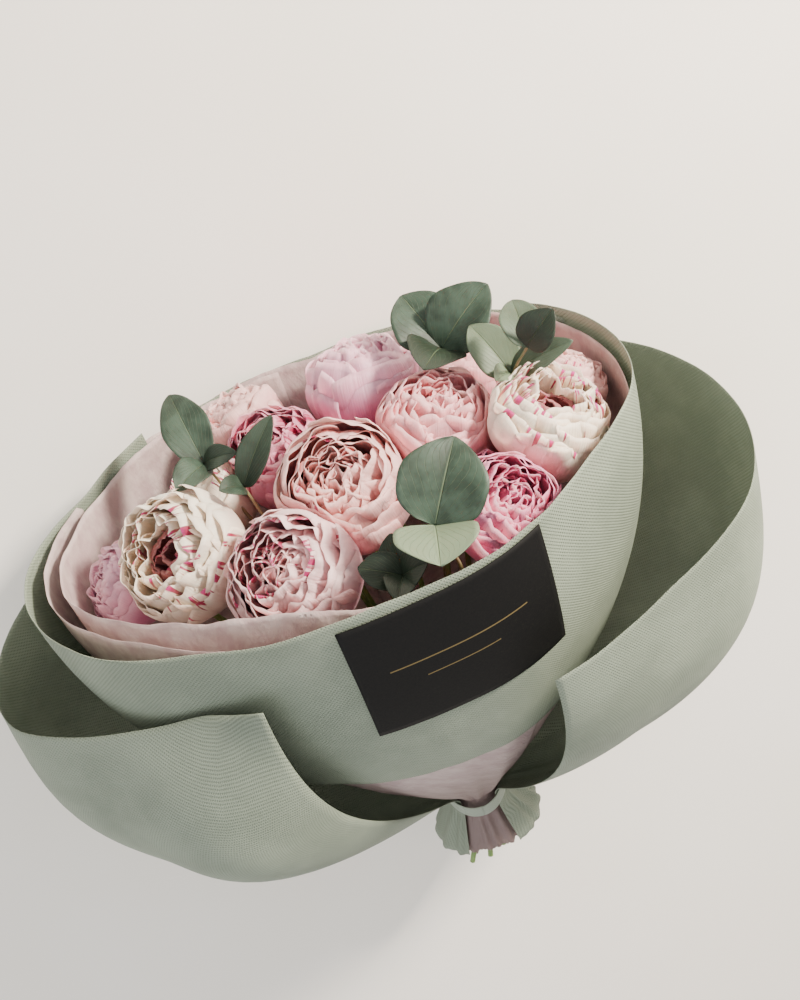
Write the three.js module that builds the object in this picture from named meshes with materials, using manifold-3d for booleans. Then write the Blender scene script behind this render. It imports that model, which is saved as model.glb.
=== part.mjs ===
// A hand-tied bunch of peonies and eucalyptus in florist's paper, laid down on its back.
// It is set out upright and then laid down. Upright, Z runs up the stems towards the flowers, -Y is the
// front with the card, and the string round the stems is at the origin. Lengths are in mm. Angles are in
// degrees, counted from the front towards the right.
import * as THREE from "three";
import { mergeVertices } from "three/addons/utils/BufferGeometryUtils.js";
import Module from "manifold-3d";

const wasm = await Module();
wasm.setup();

// ---------------------------------------------------------------- driving dimensions

const LIE_TILT = 16; // the stems' rise towards the flowers once the bunch is laid on its back
const TIE_ABOVE_SURFACE = 88;
const TOUCHING = 0.3; // the gap left between pieces that touch

const STEM_RADIUS = { flower: 2.35, bud: 1.5, shoot: 1.5 };
const BUD_RADIUS = 26; // a flower no wider than this is a bud on a thin stem
const STEM_END = -62; // height of the cut ends
const STEM_TWIST = 0.032; // the spiral of a hand-tied bunch: turn per mm of height
const LEAN = 0.087; // how far the middle of the stems moves back per mm of height

const COLUMN = 9; // angle between two creases of a sheet
// Half-widths and half-height of the neck that the stems are tied in.
const NECK = { x: 17.5, y: 26, half: 8 };
const TAIL = { x: 46, y: 40, end: -48 }; // half-widths and height of the lower edge
const BOWL = { height: 340, fullness: 2.2 };
// The radius of the bowl's rim, every 30 degrees from the back round to the back.
const BOWL_RADIUS = [178, 190, 208, 220, 174, 147, 138, 150, 167, 207, 215, 194, 178];
const LAYER = 1.4; // spacing of the sheets
const PAPER = 0.8;
const TISSUE = 0.6;

// Heights where every sheet is creased, so that the sheets nest.
const CREASES = [TAIL.end, -NECK.half, NECK.half, 36, 84, 150, 240, 360];

const COLOURS = {
  sage: "#b9c4b0",
  blush: "#d9b8b0",
  stem: "#6f8a4c",
  leaf: "#6b7f6a",
  string: "#b79f74",
  ribbon: "#aebba6",
  card: "#191919",
};

// Every flower: centre, radius, and the colour of its petals.
const PEONIES = [
  { name: "peony_01", at: [-127, 2, 322], radius: 45, colour: "#f1e4da" },
  { name: "peony_02", at: [-176, 24, 302], radius: 32, colour: "#d9a9bd" },
  { name: "peony_03", at: [-56, -52, 312], radius: 45, colour: "#eccbd0" },
  { name: "peony_04", at: [-7, 2, 327], radius: 50, colour: "#efcfcb" },
  { name: "peony_05", at: [-46, 74, 326], radius: 38, colour: "#d997a8" },
  { name: "peony_06", at: [-66, 132, 330], radius: 34, colour: "#e8bccb" },
  { name: "peony_07", at: [34, 112, 334], radius: 45, colour: "#dfb0cb" },
  { name: "peony_08", at: [72, 28, 328], radius: 47, colour: "#ecbcc1" },
  { name: "peony_09", at: [140, -12, 326], radius: 41, colour: "#f2dfd2" },
  { name: "peony_10", at: [90, -70, 314], radius: 37, colour: "#e79db7" },
  { name: "peony_11", at: [170, 47, 312], radius: 31, colour: "#dcb5bd" },
  { name: "peony_12", at: [-104, 74, 312], radius: 35, colour: "#ecd9c4" },
  { name: "peony_13", at: [109, 94, 315], radius: 38, colour: "#e3abb9" },
  { name: "peony_14", at: [93, -26, 306], radius: 24, colour: "#e28ea9" },
];

// Every shoot of eucalyptus: the gap between the flowers that it comes up through, its joints, and the
// leaves at each joint as [tip, half-width].
const SHOOTS = [
  {
    name: "eucalyptus_front", through: [49, -95, 296],
    joints: [{ at: [42, -106, 350], leaves: [[[73, -78, 388], 29], [[36, -140, 346], 27]] }],
  },
  {
    name: "eucalyptus_hollow", through: [2, -94, 272],
    joints: [{
      at: [12, -98, 316],
      leaves: [[[-13, -92, 330], 13], [[14, -78, 336], 12], [[30, -112, 330], 12], [[4, -124, 320], 11]],
    }],
  },
  {
    name: "eucalyptus_left", through: [-79, 42, 300],
    joints: [{
      at: [-95, 53, 358],
      leaves: [[[-104, 104, 394], 21], [[-116, 24, 362], 13], [[-68, 34, 368], 12]],
    }],
  },
  {
    name: "eucalyptus_middle", through: [-62, 9, 296],
    joints: [{ at: [-72, 20, 348], leaves: [[[-35, 34, 386], 15], [[-86, 4, 362], 9]] }],
  },
  {
    name: "eucalyptus_back", through: [61, 80, 300],
    joints: [{
      at: [96, 76, 364],
      leaves: [[[83, 112, 398], 25], [[142, 78, 399], 25], [[90, 36, 382], 22]],
    }],
  },
  {
    name: "eucalyptus_right", through: [115, 43, 296],
    joints: [
      { at: [134, 30, 348], leaves: [[[119, 60, 382], 17], [[176, 2, 374], 12], [[118, 2, 366], 10]] },
      { at: [144, -3, 385], leaves: [[[149, 35, 402], 14], [[166, -8, 408], 14]] },
    ],
  },
];

// ---------------------------------------------------------------- shared geometry

const radians = THREE.MathUtils.degToRad;
const lerp = THREE.MathUtils.lerp;
const vector = (xyz) => new THREE.Vector3(...xyz);

function polar(angle, radius, height) {
  return new THREE.Vector3(radius * Math.sin(radians(angle)), -radius * Math.cos(radians(angle)), height);
}

/** The radius of an ellipse at an angle from the front. */
function ellipseRadius(angle, x, y) {
  return 1 / Math.hypot(Math.sin(radians(angle)) / x, Math.cos(radians(angle)) / y);
}

/** A smooth line through values at even steps, read at t from 0 to 1. */
function smoothLine(values) {
  const points = values.map((value, i) => new THREE.Vector3(value, i, 0));
  const curve = new THREE.CatmullRomCurve3(points, false, "catmullrom", 0.5);
  return (t) => curve.getPoint(t).x;
}

function solidFrom(geometry) {
  const bare = geometry.clone();
  for (const name of Object.keys(bare.attributes)) if (name !== "position") bare.deleteAttribute(name);
  const merged = mergeVertices(bare, 1e-4);
  return new wasm.Manifold(
    new wasm.Mesh({
      numProp: 3,
      vertProperties: merged.attributes.position.array,
      triVerts: new Uint32Array(merged.index.array),
    }),
  );
}

function geometryFrom(solid) {
  const mesh = solid.getMesh();
  const geometry = new THREE.BufferGeometry();
  geometry.setAttribute("position", new THREE.BufferAttribute(new Float32Array(mesh.vertProperties), 3));
  geometry.setIndex(new THREE.BufferAttribute(new Uint32Array(mesh.triVerts), 1));
  geometry.computeVertexNormals();
  return geometry;
}

/** One solid from several that grow out of each other. Loose scraps are dropped. */
function fused(geometries) {
  const parts = wasm.Manifold.union(geometries.map(solidFrom)).decompose();
  return geometryFrom(parts.reduce((most, part) => (part.volume() > most.volume() ? part : most)));
}

function closedGeometry(points, index) {
  const geometry = new THREE.BufferGeometry();
  geometry.setFromPoints(points);
  geometry.setIndex(index);
  if (solidFrom(geometry).volume() > 0) return geometry;
  geometry.setIndex([...geometry.index.array].reverse());
  return geometry;
}

function named(name, geometry, colour, roughness = 0.8) {
  const material = new THREE.MeshStandardMaterial({ color: colour, roughness, metalness: 0 });
  const mesh = new THREE.Mesh(geometry, material);
  mesh.name = name;
  return mesh;
}

/** The normal of a grid of points at one of them. */
function gridNormal(grid, i, j) {
  const rows = grid.length - 1;
  const columns = grid[0].length - 1;
  const along = grid[i][Math.min(j + 1, columns)].clone().sub(grid[i][Math.max(j - 1, 0)]);
  const across = grid[Math.min(i + 1, rows)][j].clone().sub(grid[Math.max(i - 1, 0)][j]);
  return along.cross(across).normalize();
}

/** A closed plate between two grids of points, split into triangles alike on both faces. */
function plate(outer, inner) {
  const rows = outer.length;
  const columns = outer[0].length;
  const index = [];
  const at = (side, i, j) => (side * rows + i) * columns + j;
  const quad = (a, b, c, d) => index.push(a, b, c, a, c, d);
  for (let i = 0; i + 1 < rows; i++) {
    for (let j = 0; j + 1 < columns; j++) {
      quad(at(0, i, j), at(0, i, j + 1), at(0, i + 1, j + 1), at(0, i + 1, j));
      const [a, b, c, d] = [at(1, i, j), at(1, i, j + 1), at(1, i + 1, j + 1), at(1, i + 1, j)];
      index.push(a, c, b, a, d, c);
    }
  }
  const last = rows - 1;
  const end = columns - 1;
  for (let j = 0; j < end; j++) {
    quad(at(0, 0, j), at(1, 0, j), at(1, 0, j + 1), at(0, 0, j + 1));
    quad(at(0, last, j + 1), at(1, last, j + 1), at(1, last, j), at(0, last, j));
  }
  for (let i = 0; i < last; i++) {
    quad(at(0, i + 1, 0), at(1, i + 1, 0), at(1, i, 0), at(0, i, 0));
    quad(at(0, i, end), at(1, i, end), at(1, i + 1, end), at(0, i + 1, end));
  }
  return closedGeometry([...outer.flat(), ...inner.flat()], index);
}

/** A blade on a grid of points: thick in the middle, with a sharp rim. */
function blade(grid, thickness) {
  const rows = grid.length;
  const columns = grid[0].length;
  const face = (side) => grid.map((row, i) => row.map((p, j) => {
    const rim = i === 0 || j === 0 || i === rows - 1 || j === columns - 1;
    return rim ? p : p.clone().addScaledVector(gridNormal(grid, i, j), (side * thickness) / 2);
  }));
  const index = [];
  for (let i = 0; i + 1 < rows; i++) {
    for (let j = 0; j + 1 < columns; j++) {
      const [a, b, c, d] = [[i, j], [i, j + 1], [i + 1, j + 1], [i + 1, j]].map(([r, k]) => r * columns + k);
      const back = rows * columns;
      index.push(a, b, c, a, c, d, back + a, back + c, back + b, back + a, back + d, back + c);
    }
  }
  return closedGeometry([...face(1).flat(), ...face(-1).flat()], index);
}

/** A round stalk through points, with a radius at each. */
function stalk(points, radii, sides = 6) {
  const rings = points.map((point, i) => {
    const before = points[Math.max(i - 1, 0)];
    const after = points[Math.min(i + 1, points.length - 1)];
    const along = after.clone().sub(before).normalize();
    const side = new THREE.Vector3(1, 0, 0).addScaledVector(along, -along.x).normalize();
    const across = along.clone().cross(side);
    return Array.from({ length: sides }, (_, k) => {
      const turn = (2 * Math.PI * k) / sides;
      return point.clone()
        .addScaledVector(side, radii[i] * Math.cos(turn))
        .addScaledVector(across, radii[i] * Math.sin(turn));
    });
  });
  const index = [];
  for (let i = 0; i + 1 < rings.length; i++) {
    for (let k = 0; k < sides; k++) {
      const [a, b] = [i * sides + k, i * sides + ((k + 1) % sides)];
      index.push(a, b, b + sides, a, b + sides, a + sides);
    }
  }
  const top = (rings.length - 1) * sides;
  for (let k = 1; k + 1 < sides; k++) index.push(0, k + 1, k, top, top + k, top + k + 1);
  return closedGeometry(rings.flat(), index);
}

// ---------------------------------------------------------------- the surface that it lies on

const UP = new THREE.Vector3(0, -Math.cos(radians(LIE_TILT)), Math.sin(radians(LIE_TILT)));

/** Paper that would sink into the surface is pressed flat on it, or on the layers beneath. */
function pressedFlat(point, level) {
  const short = level - UP.dot(point) - TIE_ABOVE_SURFACE;
  return short > 0 ? point.clone().addScaledVector(UP, short) : point;
}

// ---------------------------------------------------------------- sheets of the wrapping

/** The radius of a sheet that swells from the neck to a wider top. */
function swell(angle, z, top) {
  const neck = ellipseRadius(angle, NECK.x, NECK.y);
  const share = THREE.MathUtils.clamp((z - NECK.half) / (top.height - NECK.half), 0, 1);
  const bulge = (top.belly ?? 0) * Math.sin(Math.PI * share);
  return neck + (top.radius - neck) * (1 - (1 - share) ** top.fullness) + bulge;
}

/** The radius of the wrapping round the flowers, and of the skirt below the neck. */
function bowl(angle, z) {
  const neck = ellipseRadius(angle, NECK.x, NECK.y);
  if (z < -NECK.half) {
    const share = (z + NECK.half) / (TAIL.end + NECK.half);
    return lerp(neck, ellipseRadius(angle, TAIL.x, TAIL.y), share);
  }
  const turn = THREE.MathUtils.euclideanModulo(angle + 180, 360) / 360;
  return swell(angle, z, { ...BOWL, radius: smoothLine(BOWL_RADIUS)(turn) });
}

/** The radius of a sheet at a crease: the bowl, with the sheets inside it, or wider where it flares. */
function creaseRadius(sheet, angle, z) {
  const t = (angle - sheet.from) / (sheet.to - sheet.from);
  const nested = bowl(angle, z) + sheet.layer * LAYER;
  if (!sheet.flare || z <= NECK.half) return nested;
  const flare = { height: smoothLine(sheet.top)(t) };
  for (const [key, values] of Object.entries(sheet.flare)) flare[key] = smoothLine(values)(t);
  return Math.max(nested, swell(angle, z, flare));
}

/** A point of a sheet, straight between its creases. */
function sheetPoint(sheet, angle, z) {
  const above = Math.max(1, CREASES.findIndex((crease) => crease >= z));
  const [low, high] = [CREASES[above - 1], CREASES[above]];
  const [inner, outer] = [creaseRadius(sheet, angle, low), creaseRadius(sheet, angle, high)];
  return polar(angle, lerp(inner, outer, (z - low) / (high - low)), z);
}

/** Heights of a sheet's rows at one angle: its edges, the creases between them, and even steps past those. */
function rowHeights(bottom, top, rows) {
  const margin = 8;
  const kept = [bottom, ...CREASES.filter((z) => z > bottom + margin && z < top - margin)].slice(0, rows - 1);
  const last = kept[kept.length - 1];
  const missing = rows - kept.length;
  return [...kept, ...Array.from({ length: missing }, (_, i) => lerp(last, top, (i + 1) / missing))];
}

/** A sheet of paper. Its outer face turns away from the bunch. */
function paperSheet(sheet) {
  const columns = (sheet.to - sheet.from) / COLUMN;
  const top = smoothLine(sheet.top);
  const bottom = sheet.bottom ? smoothLine(sheet.bottom) : () => TAIL.end;
  const strips = Array.from({ length: columns + 1 }, (_, j) => {
    const t = j / columns;
    const angle = lerp(sheet.from, sheet.to, t);
    const level = sheet.layersBelow * LAYER + sheet.thickness / 2;
    const heights = rowHeights(bottom(t), top(t), sheet.rows);
    return heights.map((z) => pressedFlat(sheetPoint(sheet, angle, z), level));
  });
  const grid = strips[0].map((_, i) => strips.map((strip) => strip[i]));
  return thickened(grid, sheet.thickness, sheet.layersBelow * LAYER);
}

/** A grid of points given a thickness, with nothing lower than a level above the surface. */
function thickened(grid, thickness, level) {
  const face = (side, floor) => grid.map((row, i) => row.map((p, j) => {
    const moved = p.clone().addScaledVector(gridNormal(grid, i, j), (side * thickness) / 2);
    return pressedFlat(moved, floor);
  }));
  return plate(face(1, level), face(-1, level + thickness));
}

const SHEETS = {
  tissue_inner: {
    from: -171, to: 171, layer: 0, layersBelow: 5, thickness: TISSUE, rows: 8, colour: COLOURS.blush,
    top: [342, 344, 338, 326, 324, 318, 306, 318, 332, 342, 342],
  },
  tissue_outer: {
    from: -189, to: 36, layer: 1, layersBelow: 4, thickness: TISSUE, rows: 8, colour: COLOURS.blush,
    top: [342, 344, 342, 332, 320, 306, 296],
  },
  wrap_back: {
    from: 117, to: 234, layer: 2, layersBelow: 3, thickness: PAPER, rows: 8, colour: COLOURS.sage,
    top: [338, 342, 344, 344, 344, 344, 340],
  },
  wrap_collar: {
    from: -135, to: 126, layer: 3, layersBelow: 2, thickness: PAPER, rows: 4, colour: COLOURS.sage,
    top: [352, 340, 334, 326, 324, 330, 342, 344, 346],
    bottom: [205, 190, 170, 150, 148, 146, 150, 165, 190],
    flare: {
      radius: [150, 238, 214, 140, 100, 100, 100, 100, 100],
      fullness: [2.2, 2.2, 2.2, 2.2, 2.2, 2.2, 2.2, 2.2, 2.2],
    },
  },
  wrap_left: {
    from: -216, to: -36, layer: 4, layersBelow: 1, thickness: PAPER, rows: 8, colour: COLOURS.sage,
    top: [324, 324, 324, 324, 318, 308, 296, 284, 274, 272, 274, 281, 282],
    flare: {
      radius: [150, 150, 150, 150, 150, 190, 236, 280, 298, 284, 222, 178, 168],
      fullness: [2, 2, 2, 2, 2, 2, 2.5, 3, 3.1, 3.1, 2.9, 2.5, 2.2],
      belly: [0, 0, 0, 0, 0, 0, 0, 0, 0, 4, 34, 76, 8],
    },
  },
  wrap_right: {
    from: 27, to: 216, layer: 5, layersBelow: 0, thickness: PAPER, rows: 8, colour: COLOURS.sage,
    top: [237, 253, 270, 284, 297, 306, 311, 312, 312],
    flare: {
      radius: [172, 211, 268, 278, 250, 190, 150, 150, 150],
      fullness: [2.2, 2.8, 3.6, 3.4, 2.8, 2, 2, 2, 2],
    },
  },
};

const wrapping = new THREE.Group();
for (const [name, sheet] of Object.entries(SHEETS)) {
  wrapping.add(named(name, paperSheet(sheet), sheet.colour));
}

// ---------------------------------------------------------------- card, string and ribbon

const CARD = {
  middle: 12, bottom: 227, rise: 6,
  width: 136, height: 104, thickness: 0.8, columns: 6,
  gap: 0.8, // between the card and the collar
};

/** The card lies on the collar, a little higher at its right, and bends with it at the crease. */
function cardGeometry() {
  const clearance = PAPER / 2 + CARD.thickness / 2 + CARD.gap;
  const crease = CREASES.find((z) => z > CARD.bottom + CARD.rise);
  const row = (height) => Array.from({ length: CARD.columns + 1 }, (_, j) => {
    const t = j / CARD.columns;
    const z = height(CARD.bottom + CARD.rise * t);
    const centre = sheetPoint(SHEETS.wrap_collar, CARD.middle, z);
    const turn = (CARD.width * (t - 0.5)) / Math.hypot(centre.x, centre.y);
    const angle = CARD.middle + THREE.MathUtils.radToDeg(turn);
    return sheetPoint(SHEETS.wrap_collar, angle, z).add(polar(angle, clearance, 0));
  });
  return thickened([row((z) => z), row(() => crease), row((z) => z + CARD.height)], CARD.thickness, 0);
}

const BAND_SIDES = 24;

/** A band round the neck, from one margin outside the neck's ellipse to another. */
function neckBand({ inner, outer, height }) {
  const sides = BAND_SIDES;
  const section = [[inner, -height / 2], [outer, -height / 2], [outer, height / 2], [inner, height / 2]];
  const index = [];
  const points = [];
  for (let k = 0; k < sides; k++) {
    const angle = (360 * k) / sides;
    const neck = ellipseRadius(angle, NECK.x, NECK.y);
    for (const [margin, z] of section) points.push(polar(angle, neck + margin, z));
    for (let c = 0; c < 4; c++) {
      const next = ((k + 1) % sides) * 4;
      const [a, b] = [k * 4 + c, k * 4 + ((c + 1) % 4)];
      index.push(a, b, next + ((c + 1) % 4), a, next + ((c + 1) % 4), next + c);
    }
  }
  return closedGeometry(points, index);
}

// The outermost sheet's outer face, from the neck's ellipse.
const OUTER_FACE = SHEETS.wrap_right.layer * LAYER + PAPER / 2;
const STRING = { inner: -2.2, outer: -TISSUE / 2 - TOUCHING, height: 10 };
const RIBBON = { inner: OUTER_FACE + 0.6, outer: OUTER_FACE + 1.8, height: 11 };

wrapping.add(named("card", cardGeometry(), COLOURS.card, 0.5));
wrapping.add(named("binding_string", neckBand(STRING), COLOURS.string));
wrapping.add(named("ribbon", neckBand(RIBBON), COLOURS.ribbon, 0.5));

// ---------------------------------------------------------------- stems

/** Where a straight stem of the spiral passes the tie, if it reaches a point on the way up. */
function atTie(point) {
  const turn = STEM_TWIST * point.z;
  const y = point.y - LEAN * point.z;
  const size = 1 + turn * turn;
  return new THREE.Vector2((point.x + turn * y) / size, (y - turn * point.x) / size);
}

/** The point of that stem at a height. */
function onStem(foot, z) {
  return new THREE.Vector3(foot.x - STEM_TWIST * z * foot.y, foot.y + STEM_TWIST * z * foot.x + LEAN * z, z);
}

// ---------------------------------------------------------------- peonies

const CORE = 0.7; // the packed middle of a flower, as a share of its radius
const FLOWER_GAP = 0.3; // between flowers that press on each other
const UNPRESSED = 0.8; // share of the way to a neighbour that keeps its round shape
const CALYX = { radius: 7, depth: 6 };
const STEM_BEND = 45; // length of the bend under a flower

const PETAL_RINGS = [
  { count: 5, reach: 1, from: 30, to: 108, width: 43, turn: 0, rows: 4 },
  { count: 5, reach: 0.85, from: 46, to: 134, width: 42, turn: 36, rows: 3 },
  { count: 4, reach: 0.79, from: 96, to: 158, width: 36, turn: 12, rows: 3 },
];
const PETAL_WIDTHS = { 3: [0.6, 1, 0.5], 4: [0.55, 1, 0.95, 0.45] };
const PETAL_SPIRAL = 0.065; // each petal's one side lies outside its neighbour, and the other inside

function flowerAxis({ at: [x, y, z] }) {
  return new THREE.Vector3(x, y - LEAN * z - 14, z - 60).normalize();
}

/** How far a flower reaches towards each neighbour before their petals would meet. */
function neighboursOf(peony) {
  const centre = vector(peony.at);
  return PEONIES.filter((other) => other !== peony).map((other) => {
    const away = vector(other.at).sub(centre);
    const distance = away.length();
    const limit = (distance ** 2 + peony.radius ** 2 - other.radius ** 2) / (2 * distance) - FLOWER_GAP / 2;
    return { direction: away.normalize(), limit };
  }).filter(({ limit }) => limit < 1.2 * peony.radius);
}

/** A petal's point, drawn in where the flower presses on its neighbours. */
function squeezed(point, neighbours) {
  const result = point.clone();
  for (const { direction, limit } of neighbours) {
    const reach = result.dot(direction);
    const free = UNPRESSED * limit;
    const room = limit - free;
    const pressed = free + room * (1 - Math.exp((free - reach) / room));
    if (reach > free) result.addScaledVector(direction, pressed - reach);
  }
  return result;
}

/** A thin cupped petal, rooted in the middle of the flower. */
function petal(ring, index, radius, place) {
  const middle = ring.turn + (360 / ring.count) * index;
  const grid = PETAL_WIDTHS[ring.rows].map((width, row) => {
    const v = row / (ring.rows - 1);
    const down = radians(lerp(ring.from, ring.to, v));
    return [-1, 0, 1].map((u) => {
      const azimuth = radians(middle + u * ring.width * width);
      const notch = v === 1 ? 0.03 * (1 - 2 * Math.abs(u)) : 0;
      const reach = radius * (row === 0 ? 0.6 : ring.reach * (1 + PETAL_SPIRAL * u + notch));
      return place(new THREE.Vector3(
        Math.sin(down) * Math.cos(azimuth),
        Math.sin(down) * Math.sin(azimuth),
        -Math.cos(down),
      ).multiplyScalar(reach));
    });
  });
  return blade(grid, 1.8);
}

function peonyHead(peony, axis) {
  const turned = new THREE.Quaternion().setFromUnitVectors(new THREE.Vector3(0, 0, 1), axis);
  const neighbours = neighboursOf(peony);
  const place = (p) => squeezed(p.applyQuaternion(turned), neighbours);
  const core = new THREE.SphereGeometry(CORE * peony.radius, 7, 5);
  core.rotateX(Math.PI / 2);
  const corners = core.attributes.position;
  for (let i = 0; i < corners.count; i++) {
    const p = place(new THREE.Vector3().fromBufferAttribute(corners, i));
    corners.setXYZ(i, p.x, p.y, p.z);
  }
  const petals = PETAL_RINGS.flatMap((ring) =>
    Array.from({ length: ring.count }, (_, i) => petal(ring, i, peony.radius, place)),
  );
  return fused([core, ...petals]);
}

/** A straight stem, bent to the flower's axis at its top, with the green calyx under the petals. */
function peonyStem(peony, axis) {
  const top = vector(peony.at).addScaledVector(axis, -CORE * peony.radius - TOUCHING);
  const bend = top.clone().addScaledVector(axis, -STEM_BEND);
  const foot = atTie(bend);
  const middle = bend.clone().addScaledVector(axis, STEM_BEND / 2);
  const below = top.clone().addScaledVector(axis, -CALYX.depth);
  const path = [onStem(foot, STEM_END), onStem(foot, bend.z - 20), bend, middle, below, top];
  const radius = peony.radius > BUD_RADIUS ? STEM_RADIUS.flower : STEM_RADIUS.bud;
  return stalk(path, [...Array(4).fill(radius), radius + 1, CALYX.radius]);
}

const flowers = new THREE.Group();
for (const peony of PEONIES) {
  const axis = flowerAxis(peony);
  const head = named(peony.name + "_head", peonyHead(peony, axis), peony.colour);
  head.position.set(...peony.at);
  flowers.add(head);
  flowers.add(named(peony.name + "_stem", peonyStem(peony, axis), COLOURS.stem));
}

// ---------------------------------------------------------------- eucalyptus

const LEAF = { thickness: 1.4, widths: [0.12, 0.82, 1, 0.78, 0.1], fold: 0.12, faces: [0.05, -0.62, 0.78] };

/** A rounded leaf from a joint of its shoot to its tip, folded a little along its midrib. */
function leaf(joint, tip, halfWidth) {
  const along = tip.clone().sub(joint);
  const facing = vector(LEAF.faces);
  const side = along.clone().cross(facing).normalize();
  const front = side.clone().cross(along).normalize();
  const grid = LEAF.widths.map((width, row) => {
    const v = row / (LEAF.widths.length - 1);
    const arch = 0.1 * along.length() * Math.sin(Math.PI * v);
    return [-1, 0, 1].map((u) =>
      joint.clone()
        .addScaledVector(along, v)
        .addScaledVector(side, u * width * halfWidth)
        .addScaledVector(front, arch + Math.abs(u) * LEAF.fold * width * halfWidth),
    );
  });
  return blade(grid, LEAF.thickness);
}

function shoot({ through, joints }) {
  const gap = vector(through);
  const foot = atTie(gap);
  const places = joints.map(({ at }) => vector(at));
  const end = places[places.length - 1].clone().add(new THREE.Vector3(0, 0, 1));
  const path = [onStem(foot, STEM_END), onStem(foot, gap.z - 60), gap, ...places.slice(0, -1), end];
  const stem = stalk(path, path.map((_, i) => (i === path.length - 1 ? 1 : STEM_RADIUS.shoot)), 5);
  const leaves = joints.flatMap((joint) =>
    joint.leaves.map(([tip, halfWidth]) => leaf(vector(joint.at), vector(tip), halfWidth)),
  );
  return fused([stem, ...leaves]);
}

for (const greenery of SHOOTS) flowers.add(named(greenery.name, shoot(greenery), COLOURS.leaf, 0.6));

// ---------------------------------------------------------------- the whole bunch, laid on its back

const upright = new THREE.Group();
upright.add(wrapping, flowers);
upright.rotation.x = -radians(90 - LIE_TILT);

const laidDown = new THREE.Group();
laidDown.add(upright);
laidDown.rotation.z = Math.PI;
laidDown.position.z = TIE_ABOVE_SURFACE;

// The origin is on the surface, under the middle of the bunch.
const box = new THREE.Box3().setFromObject(laidDown, true);
laidDown.position.x = -(box.min.x + box.max.x) / 2;
laidDown.position.y = -(box.min.y + box.max.y) / 2;

const bunchOfPeonies = new THREE.Group();
bunchOfPeonies.add(laidDown);
export default bunchOfPeonies;
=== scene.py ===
import math
import random

import bpy
import numpy as np
from mathutils import Matrix, Vector


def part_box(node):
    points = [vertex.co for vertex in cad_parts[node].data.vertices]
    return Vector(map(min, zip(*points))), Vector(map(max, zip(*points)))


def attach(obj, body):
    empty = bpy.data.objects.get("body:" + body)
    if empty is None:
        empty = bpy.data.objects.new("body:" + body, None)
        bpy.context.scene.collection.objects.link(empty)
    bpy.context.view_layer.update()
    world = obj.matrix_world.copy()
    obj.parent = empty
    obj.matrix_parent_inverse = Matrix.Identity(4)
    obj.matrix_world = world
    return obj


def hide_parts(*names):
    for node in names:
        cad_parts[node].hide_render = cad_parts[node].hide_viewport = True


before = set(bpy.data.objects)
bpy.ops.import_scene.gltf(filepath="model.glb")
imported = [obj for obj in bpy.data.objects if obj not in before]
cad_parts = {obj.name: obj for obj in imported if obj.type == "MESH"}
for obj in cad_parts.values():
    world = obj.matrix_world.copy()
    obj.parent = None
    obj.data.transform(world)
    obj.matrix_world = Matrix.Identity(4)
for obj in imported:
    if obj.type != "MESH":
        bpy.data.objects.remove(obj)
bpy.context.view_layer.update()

# ---------------------------------------------------------------- how the bunch lies
# The bunch lies on its back, on its large sheets of paper. They hold the tied neck above the surface,
# and the stems rise towards the flowers.

LIE_TILT = math.radians(16)
ribbon_low, ribbon_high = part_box("ribbon")
TIE = (ribbon_low + ribbon_high) / 2
SIN, COS = math.sin(LIE_TILT), math.cos(LIE_TILT)
LAID = Matrix.Translation(TIE) @ Matrix(((-1, 0, 0), (0, -SIN, -COS), (0, -COS, SIN))).to_4x4()
UP = np.array([0, -COS, SIN])

# ---------------------------------------------------------------- camera, light and floor
# The camera looks down on the flowers over the card, rolled to one side. A warm lamp on the right casts
# the shadows. Two wide pale lamps and a bright room fill them.

CAMERA_PLACE = Vector((0.0276, -0.6815, 0.7805))
LOOKS_DOWN = math.radians(35)
ROLL = math.radians(21)

forward = Vector((0, math.cos(LOOKS_DOWN), -math.sin(LOOKS_DOWN)))
level_right = Vector((1, 0, 0))
level_up = Vector((0, math.sin(LOOKS_DOWN), math.cos(LOOKS_DOWN)))
image_right = math.cos(ROLL) * level_right - math.sin(ROLL) * level_up
image_up = math.sin(ROLL) * level_right + math.cos(ROLL) * level_up


def in_scene(name, data):
    """An object made of its data and put in the scene."""
    made = bpy.data.objects.new(name, data)
    bpy.context.collection.objects.link(made)
    return made


camera = in_scene("camera", bpy.data.cameras.new("camera"))
turned = Matrix((image_right, image_up, -forward)).transposed().to_4x4()
camera.matrix_world = LAID @ Matrix.Translation(CAMERA_PLACE) @ turned
camera.data.lens = 42
camera.data.sensor_fit = "VERTICAL"
camera.data.sensor_height = 36
camera.data.sensor_width = 36
camera.data.clip_start = 0.05
bpy.context.scene.camera = camera


def soft_light(name, place, aim, size, power, colour):
    """A large square lamp at a place, turned to what it lights."""
    lamp = bpy.data.lights.new(name, "AREA")
    lamp.size = size
    lamp.energy = power
    lamp.color = colour
    made = in_scene(name, lamp)
    made.location = place
    made.rotation_euler = (Vector(aim) - Vector(place)).to_track_quat("-Z", "Y").to_euler()


MIDDLE = (0, -0.05, 0.12)
soft_light("sun", (-1.4, -1.0, 1.0), MIDDLE, 0.25, 115, (1.0, 0.90, 0.76))
soft_light("window", (1.3, 0.6, 1.3), MIDDLE, 1.6, 14, (0.90, 0.95, 1.0))
soft_light("ceiling", (0.1, -0.3, 2.0), MIDDLE, 1.8, 9, (1.0, 0.98, 0.95))

world = bpy.data.worlds.new("studio")
world.use_nodes = True
world.node_tree.nodes["Background"].inputs["Color"].default_value = (1.0, 0.97, 0.93, 1)
world.node_tree.nodes["Background"].inputs["Strength"].default_value = 0.85
bpy.context.scene.world = world


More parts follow.
